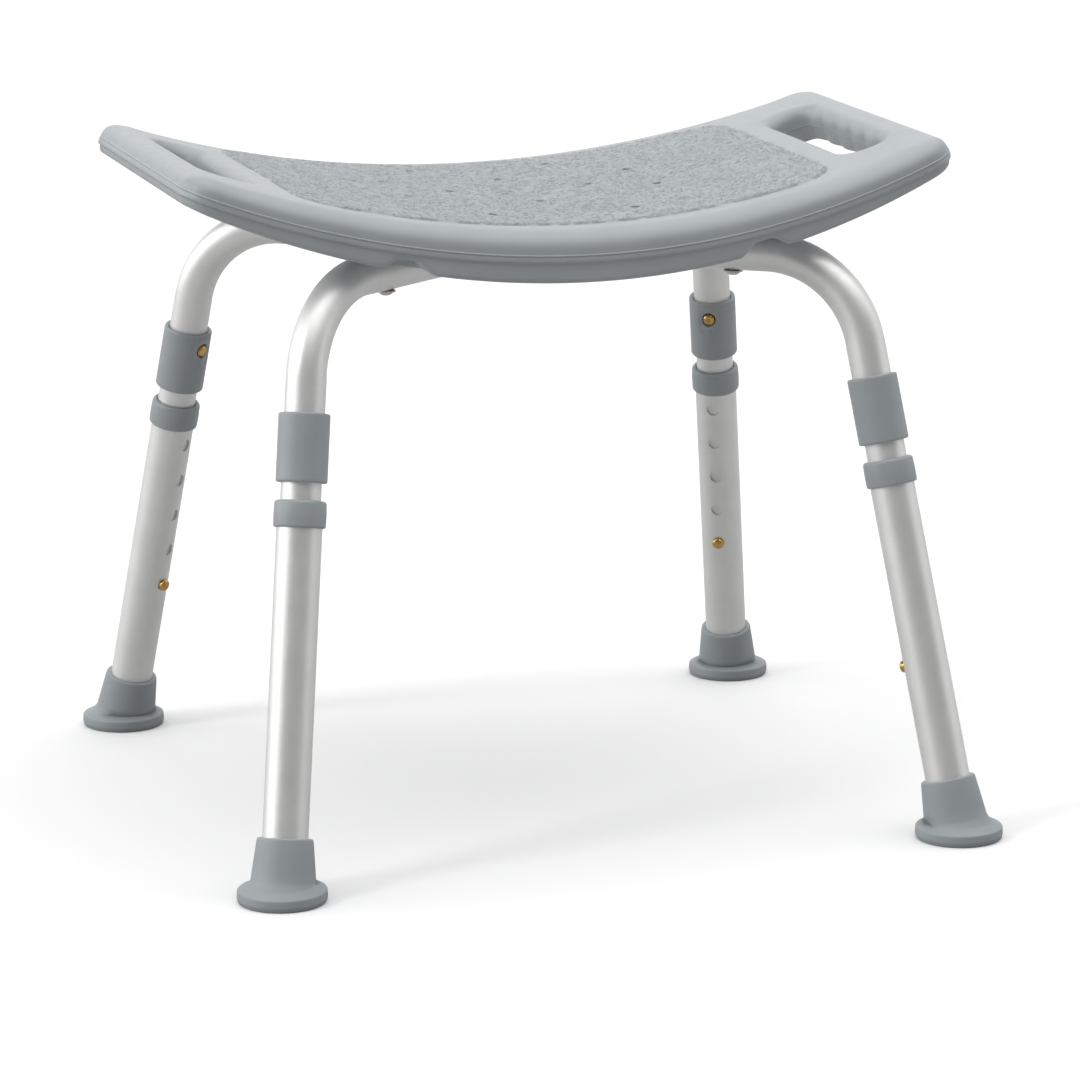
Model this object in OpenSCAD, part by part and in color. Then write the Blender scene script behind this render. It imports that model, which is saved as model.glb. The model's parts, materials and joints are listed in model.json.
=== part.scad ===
// Shower chair: a curved blow-moulded seat bolted to two bent tubes that cross under it, on four
// splayed legs. Each leg is a knock-down inner tube, locked by a snap button in a collar, inside
// an outer tube that a second snap button locks at one of five heights.
//
// Millimetres. The origin is on the floor under the middle of the seat, +X runs along the seat's
// length, +Y to its back and +Z up. Places on a leg are distances along its axis from the floor.

/* [Stance] */
// Leg axis where it meets the floor, along the seat
foot_x = 224; // [215:1:230]
// Leg axis where it meets the floor, across the seat
foot_y = 223; // [215:1:230]
// Lean of a leg along the seat, in mm for each mm of height
lean_x = 0.126; // [0.11:0.002:0.14]
// Lean of a leg across the seat, in mm for each mm of height
lean_y = 0.234; // [0.22:0.002:0.24]
// Height of the level runs of the frame tubes, at their axis
run_z = 366; // [364:1:367]
// Radius of the bend between run and leg, at the tube's axis
bend_r = 70; // [65:1:75]

/* [Tubes] */
// Outside diameter of the frame tubes and of the inner legs
tube_d = 25.4; // [25.4]
// Outside diameter of the outer legs
outer_d = 28.6; // [28.6]
// Wall of every tube
tube_wall = 1.5; // [1.4:0.05:1.5]
// Gap all round between a sliding tube and its sleeve
slide_gap = 0.08; // [0.05:0.01:0.1]
// Outer leg: lower end
outer_low = 12; // [11:0.5:14]
// Outer leg: upper end
outer_top = 244; // [240:1:244]
// Inner leg: lower end
inner_low = 98; // [94:1:99]
// Inner leg: where its neck starts, under the end of the frame tube
neck_low = 266; // [264:1:268]
// Inner leg: top of its neck
neck_top = 312; // [308:1:314]

/* [Collars, rings and feet] */
// Collar: lower end
collar_low = 258; // [256:1:260]
// Collar: length
collar_len = 43; // [42:1:44]
// Collar: outside diameter
collar_d = 32.2; // [32:0.1:33]
// Diameter of the collar's window over its snap button
window_d = 10.2; // [10:0.1:11]
// Ring on top of the outer leg: lower end
ring_low = 230; // [229:1:232]
// Ring: length
ring_len = 17; // [16:1:17]
// Ring: outside diameter
ring_d = 32.7; // [32:0.1:33.5]
// Foot: diameter of its flange on the floor
flange_d = 56.4; // [54:0.2:60]
// Foot: height of the flange's rim
flange_h = 7.5; // [6:0.5:9]
// Foot: outside diameter of its mouth
mouth_d = 35; // [34:0.5:37]
// Foot: top of its mouth, along the leg
mouth_top = 38.5; // [36:0.5:42]

/* [Snap buttons] */
// Collar button, along the leg
collar_button_at = 289; // [288:1:290]
// Height button, along the leg
height_button_at = 113.5; // [112:0.5:115]
// Diameter of a snap button
button_d = 8; // [7.6:0.1:8.2]
// Diameter of the holes that the buttons snap into
button_hole_d = 8.4; // [8.4:0.1:8.8]
// How far a button travels when it is pushed in
button_travel = 5; // [5:0.1:5.4]
// Number of height holes in an outer leg
height_holes = 5; // [3:1:5]
// Height that one hole adds
height_step = 25.4; // [25.4]
// Way that each leg's buttons face, in degrees in from the seat's length: FL, FR, BL, BR
button_facing = [50, 45, 54, 60];

/* [Seat] */
// Length of the seat, end to end
seat_len = 508; // [500:1:512]
// Width of the seat at its middle
seat_mid_w = 319; // [312:1:324]
// Width of the seat at its ends
seat_end_w = 263; // [258:1:268]
// Radius of the seat's corners, from above
seat_corner_r = 22; // [18:1:26]
// Height of the top at the middle
top_z = 396.9; // [396:0.1:398]
// Radius of the top, from the side
top_r = 725; // [715:1:735]
// Height of the underside at the middle
under_z = 362.3; // [362:0.1:363]
// Radius of the underside, from the side
under_r = 597; // [590:1:605]
// Height of the parting line at the middle
parting_z = 380.3; // [380:0.1:381]
// Radius of the parting line, from the side
parting_r = 680; // [675:1:685]
// Wall of the hollow seat
seat_wall = 3; // [2.6:0.1:3]
// Diameter of a drain hole
drain_d = 6.5; // [6:0.1:7]
// Middle of a handle slot, from the middle of the seat along the parting line
slot_at = 220.5; // [216:0.5:221]
// Width of a handle slot
slot_w = 30.5; // [27:0.5:31]
// Length of a handle slot
slot_len = 156; // [150:1:190]
// Middle of a skirt notch, along the seat
notch_at = 116; // [114:1:122]

/* [Seat fasteners] */
// Screw, from the middle of the chair along the frame tube's run
screw_at = 147; // [140:1:148]
// Diameter of the screws
screw_d = 6; // [6]

/* [Hidden] */
LEGS = ["fl", "fr", "bl", "br"];
LEG_PIECES = [
    "collar", "inner_leg", "outer_leg", "leg_ring", "foot", "foot_washer",
    "collar_button", "height_button", "collar_spring", "height_spring"
];

$fn = 96;
big_fn = 720;                       // for the large arcs of the seat
hull_fn = 32;
join = 1;                           // overlap between the stretches of one tube
bend_reach = 1.2;                   // the same at the ends of a bend, in degrees
bend_thinning = 0.12;               // how much a tube's outside draws in where it is bent or pressed
snug = 0.05;                        // gap round a part that is pushed on or in

// Legs
SIDE = [[-1, -1], [1, -1], [-1, 1], [1, 1]];
leg_scale = sqrt(1 + pow(lean_x, 2) + pow(lean_y, 2));   // mm along a leg for each mm of height
leg_tilt = acos(1 / leg_scale);
tube_r = tube_d / 2;
bore_r = tube_r - tube_wall;
neck_r = bore_r - slide_gap;
neck_bore_r = neck_r - tube_wall;
shoulder_len = 4;
outer_r = outer_d / 2;
outer_bore_r = tube_r + slide_gap;
hole_pitch = height_step * leg_scale;

// Frame tubes: level run, bend and leg stub, in the plane of the bend
corner = [foot_x - lean_x * run_z, foot_y - lean_y * run_z];
run_azimuth = atan2(corner[1], corner[0]);
bend_turn = acos((lean_x * cos(run_azimuth) + lean_y * sin(run_azimuth)) / leg_scale);
bend_roll = atan(lean_y * cos(run_azimuth) - lean_x * sin(run_azimuth));
bend_tangent = bend_r * tan(bend_turn / 2);
run_len = norm(corner) - bend_tangent;
frame_end = neck_low + 0.3;         // lower end of a frame tube, along the leg
stub_len = run_z * leg_scale - bend_tangent - frame_end;

// Crossing: each tube is pressed flat there, one plate above the other
flat_half = 24.5;                   // half the length of the flat, past the other tube's edges
flat_w = 37;
flat_t = 3;
flat_gap = 0.1;
round_from = 42;                    // from here on the tube is round
pocket_r = 47;                      // recess in the seat over the crossing

// Snap buttons
button_r = button_d / 2;
button_flange_r = 4.9;
button_flange_t = 1;
collar_button_tip = neck_r + button_travel - 0.1;
height_button_tip = tube_r + button_travel - 0.1;
leaf_w = 6;
leaf_t = 0.6;
leaf_len = 24;

// Seat
seat_half = seat_len / 2;
channel_r = tube_r + 0.3;
channel_roof_z = run_z + channel_r;
channel_past_run = 14;              // how far the channels go on over the bends
drain_r = drain_d / 2;
drain_wall = 2.5;
slot_corner_r = 13;
notch_depth = 7.5;
notch_in = 36;
insert_r = 4.5;
insert_len = 11;
insert_wall = 3;
DRAINS = concat(
    [for (x = [-86.5, 86.5], y = [-32, 32]) [x, y]],
    [for (x = [-48.5, 48.5], y = [-96.6, 0, 96.6]) [x, y]],
    [for (y = [-47.7, 47.7]) [0, y]]
);
SCREWS = [for (side = SIDE) screw_at * [side[0] * cos(run_azimuth), side[1] * sin(run_azimuth)]];

seat_grey = [0.63, 0.67, 0.69];
part_grey = [0.54, 0.59, 0.61];
aluminium = [0.80, 0.80, 0.79];
brass = [0.80, 0.60, 0.25];
steel = [0.55, 0.55, 0.56];

// ---------------------------------------------------------------- helpers

// Children stand on leg i: origin on the floor, +Z up the leg's axis, +X the way its buttons face.
module at_leg(i) {
    sx = SIDE[i][0];
    sy = SIDE[i][1];
    lean = atan2(-sy * lean_y, -sx * lean_x);
    face = atan2(-sy * sin(button_facing[i]), -sx * cos(button_facing[i]));
    translate([sx * foot_x, sy * foot_y, 0])
        rotate([0, leg_tilt, lean])
            rotate([0, 0, face - lean])
                children();
}

// A ring of revolution between two radii.
module ring(r_in, r_out, low, high) {
    rotate_extrude()
        translate([r_in, low])
            square([r_out - r_in, high - low]);
}

// A radial hole in a tube's +X wall.
module side_hole(d, at) {
    translate([0, 0, at])
        rotate([0, 90, 0])
            cylinder(d = d, h = collar_d);
}

// ---------------------------------------------------------------- frame

// Half of a frame tube as a rod of radius r, in the plane of its bend: the run starts on +X. The
// bend is bent_r thick, and reaches a little into the run and into the stub.
module bent_rod(r, bent_r, from, past_end) {
    translate([from, 0, 0])
        rotate([0, 90, 0])
            cylinder(r = r, h = run_len - from);
    translate([run_len, 0, -bend_r]) {
        rotate([90, 0, 0])
            rotate([0, 0, 90 - bend_turn - bend_reach])
                rotate_extrude(angle = bend_turn + 2 * bend_reach)
                    translate([bend_r, 0])
                        circle(bent_r);
        translate([bend_r * sin(bend_turn), 0, bend_r * cos(bend_turn)])
            rotate([0, 90 + bend_turn, 0])
                cylinder(r = r, h = stub_len + past_end);
    }
}

// The tube's change from round to flat, as a solid of radius r and plate w by t, centred on plate_z.
// It reaches into the round tube and into the flat, so that the three join.
module pressed_end(r, w, t, plate_z, from) {
    hull() {
        translate([round_from, 0, 0])
            rotate([0, 90, 0])
                cylinder(r = r, h = join, $fn = hull_fn);
        translate([from, -w / 2, plate_z - t / 2])
            cube([join, w, t]);
    }
}

// One arm of a frame tube. At the crossing its flat lies above the other tube's where side is 1,
// and below it where side is -1.
module frame_arm(side) {
    plate_z = side * (flat_gap + flat_t) / 2;
    difference() {
        union() {
            rotate([bend_roll, 0, 0])
                bent_rod(tube_r, tube_r - bend_thinning, round_from, 0);
            pressed_end(tube_r - bend_thinning, flat_w, flat_t, plate_z, flat_half);
        }
        rotate([bend_roll, 0, 0])
            bent_rod(bore_r, bore_r + bend_thinning / 2, round_from, join);
        pressed_end(bore_r - bend_thinning, flat_w - 2 * tube_wall, 0.1, plate_z, flat_half + 2);
    }
}

// A whole frame tube: two arms turned half a turn apart, the flat between them, and its holes.
module frame_tube(side) {
    translate([0, 0, run_z]) {
        difference() {
            union() {
                for (turn = [0, 180])
                    rotate([0, 0, run_azimuth + turn])
                        frame_arm(side);
                rotate([0, 0, run_azimuth])
                    translate([0, 0, side * (flat_gap + flat_t) / 2])
                        cube([2 * (flat_half + join), flat_w, flat_t], center = true);
            }
            cylinder(d = screw_d + 0.4, h = 4 * flat_t, center = true);
            for (turn = [0, 180])
                rotate([0, 0, run_azimuth + turn])
                    translate([screw_at, 0, 0])
                        cylinder(d = screw_d + 0.5, h = 3 * tube_r, center = true);
        }
    }
}

module frame_tube_a() {
    color(aluminium)
        difference() {
            frame_tube(-1);
            for (i = [0, 3])
                at_leg(i)
                    side_hole(button_hole_d, collar_button_at);
        }
}

module frame_tube_b() {
    color(aluminium)
        difference() {
            mirror([0, 1, 0])
                frame_tube(1);
            for (i = [1, 2])
                at_leg(i)
                    side_hole(button_hole_d, collar_button_at);
        }
}

module cross_bolt() {
    plates = flat_t + flat_gap;
    color(steel)
        translate([0, 0, run_z]) {
            translate([0, 0, -plates - 4.5])
                cylinder(d = 10.5, h = 4.4);
            translate([0, 0, -plates - 0.2])
                cylinder(d = screw_d, h = 2 * plates + 6.5);
        }
}

module cross_nut() {
    color(steel)
        translate([0, 0, run_z + flat_t + flat_gap])
            difference() {
                cylinder(d = 11.5, h = 5, $fn = 6);
                translate([0, 0, -1])
                    cylinder(d = screw_d + 0.1, h = 7);
            }
}

// ---------------------------------------------------------------- seat

function half_width(x, inset) =
    seat_mid_w / 2 - (seat_mid_w - seat_end_w) / 2 * pow(x / seat_half, 2) - inset;

// A quarter of the seat's outline, from the middle of a long side round to the end.
function outline_quarter(inset) =
    let (
        r = seat_corner_r - inset,
        end_slope = atan((seat_mid_w - seat_end_w) / seat_half),
        centre_x = seat_half - inset - r,
        join_x = centre_x + r * sin(end_slope),
        centre_y = half_width(join_x, inset) - r * cos(end_slope)
    )
    concat(
        [for (k = [0:11]) [join_x * k / 12, half_width(join_x * k / 12, inset)]],
        [for (k = [0:6]) let (a = (90 - end_slope) * (1 - k / 6)) [centre_x + r * cos(a), centre_y + r * sin(a)]]
    );

function reversed(list) = [for (k = [len(list) - 1:-1:0]) list[k]];

module seat_outline(inset) {
    quarter = outline_quarter(inset);
    side = concat(reversed([for (p = quarter) [-p[0], p[1]]]), quarter);
    polygon(concat(side, [for (p = reversed(side)) [p[0], -p[1]]]));
}

// The seat between its top and its underside, inset all round.
module seat_slab(inset) {
    intersection() {
        translate([0, 0, under_z - 10])
            linear_extrude(height = 120)
                seat_outline(inset);
        rotate([90, 0, 0])
            linear_extrude(height = seat_mid_w + 20, center = true)
                difference() {
                    intersection() {
                        translate([0, under_z + under_r])
                            circle(r = under_r - inset, $fn = big_fn);
                        translate([-seat_half - 10, under_z - 10])
                            square([seat_len + 20, 120]);
                    }
                    translate([0, top_z + top_r])
                        circle(r = top_r + inset, $fn = big_fn);
                }
    }
}

// Children stand on the parting surface, a distance along from the middle, square to the seat.
module on_parting(along) {
    a = along / parting_r * 180 / PI;
    translate([parting_r * sin(a), 0, parting_z + parting_r * (1 - cos(a))])
        rotate([0, -a, 0])
            children();
}

module handle_slots(grow) {
    r = slot_corner_r + grow;
    x = slot_w / 2 + grow - r;
    y = slot_len / 2 + grow - r;
    for (side = [-1, 1])
        on_parting(side * slot_at)
            for (box = [[2 * x, 2 * (y + r)], [2 * (x + r), 2 * y]])
                cube([box[0], box[1], 80], center = true);
    for (side = [-1, 1], cx = [-x, x], cy = [-y, y])
        on_parting(side * slot_at)
            translate([cx, cy, 0])
                cylinder(r = r, h = 80, center = true);
}

module drain_holes(grow) {
    for (p = DRAINS)
        translate([p[0], p[1], under_z - 10])
            cylinder(r = drain_r + grow, h = 80);
}

// Recesses in the underside for the two tubes and for their crossing.
module tube_channels(grow) {
    channel_len = 2 * (run_len + channel_past_run);
    for (azimuth = [run_azimuth, -run_azimuth])
        rotate([0, 0, azimuth]) {
            translate([0, 0, run_z])
                rotate([0, 90, 0])
                    cylinder(r = channel_r + grow, h = channel_len, center = true);
            translate([0, 0, run_z - 10])
                cube([channel_len, 2 * (channel_r + grow), 20], center = true);
        }
    translate([0, 0, under_z - 10])
        cylinder(r = pocket_r + grow, h = channel_roof_z - under_z + 10 + grow);
}

// Arches in the lower edge of the skirt, front and back.
module skirt_notches(grow) {
    slope = notch_at / under_r * 180 / PI;
    floor_z = under_z + pow(notch_at, 2) / (2 * under_r);
    edge_y = half_width(notch_at, 0);
    for (sx = [-1, 1], sy = [-1, 1])
        mirror([sx > 0 ? 0 : 1, 0, 0])
            mirror([0, sy > 0 ? 0 : 1, 0])
                translate([notch_at, edge_y + 5, floor_z])
                    rotate([90, -slope, 0])
                        linear_extrude(height = notch_in + 5 + grow)
                            polygon([
                                [-16 - grow, -5],
                                [16 + grow, -5],
                                [16 + grow, 0],
                                [10 + grow, notch_depth + grow],
                                [-10 - grow, notch_depth + grow],
                                [-16 - grow, 0]
                            ]);
}

module insert_bores(grow) {
    for (p = SCREWS)
        translate([p[0], p[1], under_z - 10])
            cylinder(r = insert_r + grow, h = channel_roof_z + insert_len + 1 - under_z + 10 + grow);
}

module seat_shell() {
    color(seat_grey)
        difference() {
            seat_slab(0);
            difference() {
                seat_slab(seat_wall);
                handle_slots(seat_wall);
                drain_holes(drain_wall);
                tube_channels(seat_wall);
                skirt_notches(seat_wall);
                insert_bores(insert_wall);
            }
            handle_slots(0);
            drain_holes(0);
            tube_channels(0);
            skirt_notches(0);
            insert_bores(snug);
            translate([0, 120, under_z - 1])
                cylinder(r = 3, h = seat_wall + 3);
        }
}

module seat_inserts() {
    color(brass)
        for (p = SCREWS)
            translate([p[0], p[1], channel_roof_z])
                difference() {
                    cylinder(r = insert_r, h = insert_len);
                    translate([0, 0, -1])
                        cylinder(r = screw_d / 2 + snug, h = insert_len + 2);
                }
}

module seat_screws() {
    color(brass)
        for (p = SCREWS)
            translate([p[0], p[1], run_z - tube_r])
                rotate_extrude()
                    polygon([
                        [0, -3.5],
                        [2.4, -3.2],
                        [4, -2.3],
                        [4.4, -1.3],
                        [6.2, -1.1],
                        [6.2, -0.1],
                        [screw_d / 2, -0.1],
                        [screw_d / 2, 2 * tube_r + insert_len - 1],
                        [0, 2 * tube_r + insert_len]
                    ]);
}

// ---------------------------------------------------------------- legs

module collar(i) {
    top = collar_low + collar_len;
    r = collar_d / 2;
    color(part_grey)
        at_leg(i)
            difference() {
                rotate_extrude()
                    polygon([
                        [outer_bore_r, collar_low],
                        [r - 1, collar_low],
                        [r, collar_low + 1],
                        [r, top - 1],
                        [r - 1, top],
                        [outer_bore_r, top]
                    ]);
                side_hole(window_d, collar_button_at);
            }
}

module inner_leg(i) {
    color(aluminium)
        at_leg(i)
            difference() {
                rotate_extrude()
                    polygon([
                        [bore_r, inner_low],
                        [tube_r, inner_low],
                        [tube_r, neck_low - shoulder_len],
                        [neck_r, neck_low],
                        [neck_r, neck_top],
                        [neck_bore_r, neck_top],
                        [neck_bore_r, neck_low],
                        [bore_r, neck_low - shoulder_len]
                    ]);
                side_hole(button_hole_d, height_button_at);
                side_hole(button_hole_d, collar_button_at);
            }
}

module outer_leg(i) {
    color(aluminium)
        at_leg(i)
            difference() {
                ring(outer_bore_r, outer_r, outer_low, outer_top);
                for (k = [0:height_holes - 1])
                    side_hole(button_hole_d, height_button_at + k * hole_pitch);
            }
}

// The ring sits on the outer leg, and its lip closes in to guide the inner leg.
module leg_ring(i) {
    top = ring_low + ring_len;
    r = ring_d / 2;
    color(part_grey)
        at_leg(i)
            rotate_extrude()
                polygon([
                    [outer_r + snug, ring_low],
                    [r - 1, ring_low],
                    [r, ring_low + 1],
                    [r, top - 2],
                    [r - 2, top],
                    [outer_bore_r, top],
                    [outer_bore_r, outer_top + snug],
                    [outer_r + snug, outer_top + snug]
                ]);
}

// Rubber foot: a level flange on the floor, and a cone that follows the leg.
module foot(i) {
    washer_low = outer_low - 1.5 - snug;
    color(part_grey)
        difference() {
            union() {
                translate([SIDE[i][0] * foot_x, SIDE[i][1] * foot_y, 0])
                    rotate_extrude()
                        polygon([
                            [0, 0],
                            [flange_d / 2 - 1.5, 0],
                            [flange_d / 2, 1.5],
                            [flange_d / 2 - 0.6, flange_h],
                            [flange_d / 2 - 2.2, flange_h + 1.4],
                            [mouth_d / 2 + 2.5, flange_h + 4.2],
                            [0, flange_h + 4.2]
                        ]);
                at_leg(i)
                    translate([0, 0, 6])
                        cylinder(r1 = mouth_d / 2 + 2.7, r2 = mouth_d / 2, h = mouth_top - 6);
            }
            at_leg(i)
                translate([0, 0, washer_low])
                    cylinder(r = outer_r + snug, h = mouth_top);
            for (r = [11, 17, 23])
                translate([SIDE[i][0] * foot_x, SIDE[i][1] * foot_y, -1])
                    ring(r, r + 2, 0, 2.2);
        }
}

module foot_washer(i) {
    color(steel)
        at_leg(i)
            translate([0, 0, outer_low - 1.5])
                cylinder(r = outer_r - 0.3, h = 1.5 - snug);
}

// Distance from the leg's axis to the back of a button's flange, which rests on the tube's inside.
function button_back(r_in) = sqrt(pow(r_in, 2) - pow(button_flange_r, 2)) - 0.1 - button_flange_t;

// Snap button along +X, from its flange inside the tube to its domed tip.
module snap_button(at, r_in, tip) {
    back = button_back(r_in);
    dome = 2;
    color(brass)
        translate([0, 0, at])
            rotate([0, 90, 0])
                rotate_extrude()
                    polygon(concat(
                        [
                            [0, back],
                            [button_flange_r, back],
                            [button_flange_r, back + button_flange_t],
                            [button_r, back + button_flange_t]
                        ],
                        [for (a = [0:15:90]) [button_r - dome + dome * cos(a), tip - dome + dome * sin(a)]],
                        [[0, tip]]
                    ));
}

// Hairpin leaf spring behind a button. Its bend is below the button, or above it where up is 1.
module snap_spring(at, r_in, up) {
    front = button_back(r_in) - snug;
    rear = sqrt(pow(r_in, 2) - pow(leaf_w / 2, 2)) - 0.2;
    r = (front + rear) / 2;
    middle = (front - rear) / 2;
    color(steel)
        translate([0, 0, at])
            mirror([0, 0, up])
                rotate([90, 0, 0])
                    linear_extrude(height = leaf_w, center = true) {
                        translate([front - leaf_t, -leaf_len])
                            square([leaf_t, leaf_len + 5]);
                        translate([-rear, -leaf_len])
                            square([leaf_t, leaf_len - 4]);
                        difference() {
                            translate([middle, -leaf_len])
                                circle(r);
                            translate([middle, -leaf_len])
                                circle(r - leaf_t);
                            translate([middle - 2 * r, -leaf_len])
                                square([4 * r, 2 * r]);
                        }
                    }
}

module collar_button(i) {
    at_leg(i)
        snap_button(collar_button_at, neck_bore_r, collar_button_tip);
}

module height_button(i) {
    at_leg(i)
        snap_button(height_button_at, bore_r, height_button_tip);
}

module collar_spring(i) {
    at_leg(i)
        snap_spring(collar_button_at, neck_bore_r, 0);
}

module height_spring(i) {
    at_leg(i)
        snap_spring(height_button_at, bore_r, 1);
}

// ---------------------------------------------------------------- assembly

seat_shell();
seat_inserts();
seat_screws();
frame_tube_a();
frame_tube_b();
cross_bolt();
cross_nut();
for (i = [0:3]) {
    collar(i);
    inner_leg(i);
    outer_leg(i);
    leg_ring(i);
    foot(i);
    foot_washer(i);
    collar_button(i);
    height_button(i);
    collar_spring(i);
    height_spring(i);
}
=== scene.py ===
"""Looks of the shower chair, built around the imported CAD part."""

import json
import math

import bpy
import numpy as np
from mathutils import Matrix, Vector
from mathutils.geometry import delaunay_2d_cdt


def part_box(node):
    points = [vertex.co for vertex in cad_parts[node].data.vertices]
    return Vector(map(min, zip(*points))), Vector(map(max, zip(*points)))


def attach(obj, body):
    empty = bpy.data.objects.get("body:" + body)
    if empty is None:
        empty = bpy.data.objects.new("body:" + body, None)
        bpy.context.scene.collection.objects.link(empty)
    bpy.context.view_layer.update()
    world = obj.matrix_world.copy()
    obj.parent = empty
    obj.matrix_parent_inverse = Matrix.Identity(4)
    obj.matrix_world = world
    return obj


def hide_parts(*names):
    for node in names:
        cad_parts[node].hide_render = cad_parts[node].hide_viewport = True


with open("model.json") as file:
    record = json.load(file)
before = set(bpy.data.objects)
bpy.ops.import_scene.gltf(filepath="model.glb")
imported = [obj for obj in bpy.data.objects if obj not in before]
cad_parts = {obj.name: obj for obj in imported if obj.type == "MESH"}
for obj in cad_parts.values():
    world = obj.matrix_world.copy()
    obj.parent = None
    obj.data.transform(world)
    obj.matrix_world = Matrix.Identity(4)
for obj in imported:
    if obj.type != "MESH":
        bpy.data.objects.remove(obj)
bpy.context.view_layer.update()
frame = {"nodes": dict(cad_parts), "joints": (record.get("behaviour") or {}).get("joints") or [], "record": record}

# Shapes are worked out in millimetres and scaled by MM when a piece is made.
MM = 0.001
LEGS = ("fl", "fr", "bl", "br")


# ---------------------------------------------------------------- what the frame says

def joint_axis(name):
    axes = {joint["name"]: joint["axis"] for joint in frame["joints"]}
    return Vector(axes[name])


def leg_matrix(leg):
    """Places a leg's own space: origin on the floor, z up the leg's axis, x the way its buttons face."""
    up = -joint_axis("pull_leg_" + leg).normalized()
    across = up.cross(-joint_axis("press_collar_button_" + leg)).normalized()
    face = across.cross(up)
    mounts = {mount["name"]: mount["pos_m"] for mount in frame["record"]["mounts"]}
    matrix = Matrix((face, across, up)).transposed().to_4x4()
    matrix.translation = Vector(mounts["floor_" + leg])
    return matrix


def extent(node, matrix):
    """Lowest and highest corner of a CAD node in a leg's own space, in millimetres."""
    inverse = matrix.inverted()
    corners = np.array([inverse @ vertex.co for vertex in frame["nodes"][node].data.vertices])
    return corners.min(0) / MM, corners.max(0) / MM


# ---------------------------------------------------------------- mesh tools

class Skin:
    """Points and faces of one closed piece, gathered ring by ring. Points are in millimetres."""

    def __init__(self):
        self.blocks = []
        self.count = 0
        self.faces = []

    def add(self, points):
        points = np.asarray(points, float)
        self.blocks.append(points)
        self.count += len(points)
        return np.arange(self.count - len(points), self.count)

    def loft(self, rings):
        """Joins closed rings of equal length, each to the next."""
        for first, second in zip(rings, rings[1:]):
            quads = np.column_stack([first, np.roll(first, -1), np.roll(second, -1), second])
            self.faces.extend(quads.tolist())

    def fill(self, loops, ids, flat, flip=False):
        """Triangles between closed loops. ids and flat list the loops' points first, then the free ones."""
        triangles = ids[triangulate(loops, flat)]
        if flip:
            triangles = triangles[:, ::-1]
        self.faces.extend(triangles.tolist())

    def cap(self, ring, centre, flip=False):
        """A fan from a ring to one point."""
        tip = self.add([centre])[0]
        fan = np.column_stack([ring, np.roll(ring, -1), np.full(len(ring), tip)])
        self.faces.extend((fan[:, ::-1] if flip else fan).tolist())

    def points(self):
        return np.concatenate(self.blocks)


def triangulate(loops, flat):
    """Triangles in a plane. loops are the lengths of the closed loops that flat starts with: the first
    is the outer edge, the rest are holes. The points that follow them are free."""
    edges, starts, start = [], [], 0
    for length in loops:
        edges += [(start + k, start + (k + 1) % length) for k in range(length)]
        starts.append(start)
        start += length
    made = delaunay_2d_cdt([Vector(p) for p in flat], edges, [], 0, 1e-6)
    first = np.array([origin[0] for origin in made[3]])
    triangles = first[np.array(made[2])]
    owner = np.full(len(flat), -1)
    for loop, (start, length) in enumerate(zip(starts, loops)):
        owner[start:start + length] = loop
    owners = owner[triangles]
    same = (owners[:, 0] >= 0) & (owners[:, 0] == owners[:, 1]) & (owners[:, 1] == owners[:, 2])
    keep = np.ones(len(triangles), bool)
    for loop, (start, length) in enumerate(zip(starts, loops)):
        mine = np.where(same & (owners[:, 0] == loop))[0]
        if len(mine):
            within = inside(flat[triangles[mine]].mean(1), flat[start:start + length])
            keep[mine] = within if loop == 0 else ~within
    return triangles[keep]


def inside(points, polygon):
    """Whether each point is within the polygon, by crossings."""
    x, y = points[:, :1], points[:, 1:]
    x1, y1 = polygon[:, 0], polygon[:, 1]
    x2, y2 = np.roll(x1, -1), np.roll(y1, -1)
    spans = (y1 > y) != (y2 > y)
    rise = np.where(y2 == y1, 1e-12, y2 - y1)
    return (spans & (x < x1 + (y - y1) / rise * (x2 - x1))).sum(1) % 2 == 1


def thin_out(points, spacing):
    """Drops points that share a grid cell with an earlier one."""
    cells = np.round(points / spacing).astype(int)
    kept = np.unique(cells, axis=0, return_index=True)[1]
    return points[np.sort(kept)]


def lattice(half_x, half_y, pitch):
    """Points of a triangular lattice over a rectangle about the origin."""
    row = pitch * math.sqrt(3) / 2
    ys = np.arange(-half_y, half_y, row)
    xs = np.arange(-half_x, half_x, pitch)
    x, y = np.meshgrid(xs, ys)
    x = x + (np.arange(len(ys)) % 2)[:, None] * pitch / 2
    return np.column_stack([x.ravel(), y.ravel()])


def circle(count, radius, centre=(0, 0)):
    turn = np.linspace(0, 2 * math.pi, count, endpoint=False)
    return np.column_stack([centre[0] + radius * np.cos(turn), centre[1] + radius * np.sin(turn)])


def smooth(x):
    """A soft step from 0 to 1 as x goes from 0 to 1."""
    x = np.clip(x, 0, 1)
    return x * x * (3 - 2 * x)


def hashed(i, j, seed):
    """A repeatable number from 0 to 1 for each lattice point."""
    n = (i.astype(np.int64) * 374761393 + j.astype(np.int64) * 668265263 + seed * 974634777) & 0xFFFFFFFF
    n = ((n ^ (n >> 13)) * 1274126177) & 0xFFFFFFFF
    n = ((n ^ (n >> 16)) * 2246822519) & 0xFFFFFFFF
    return (n ^ (n >> 15)) / 0xFFFFFFFF


def noise(x, y, size, seed):
    """Smooth noise from 0 to 1 with lumps of about that size."""
    x, y = x / size, y / size
    i, j = np.floor(x), np.floor(y)
    u, v = smooth(x - i), smooth(y - j)
    low = hashed(i, j, seed) * (1 - u) + hashed(i + 1, j, seed) * u
    high = hashed(i, j + 1, seed) * (1 - u) + hashed(i + 1, j + 1, seed) * u
    return low * (1 - v) + high * v


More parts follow.
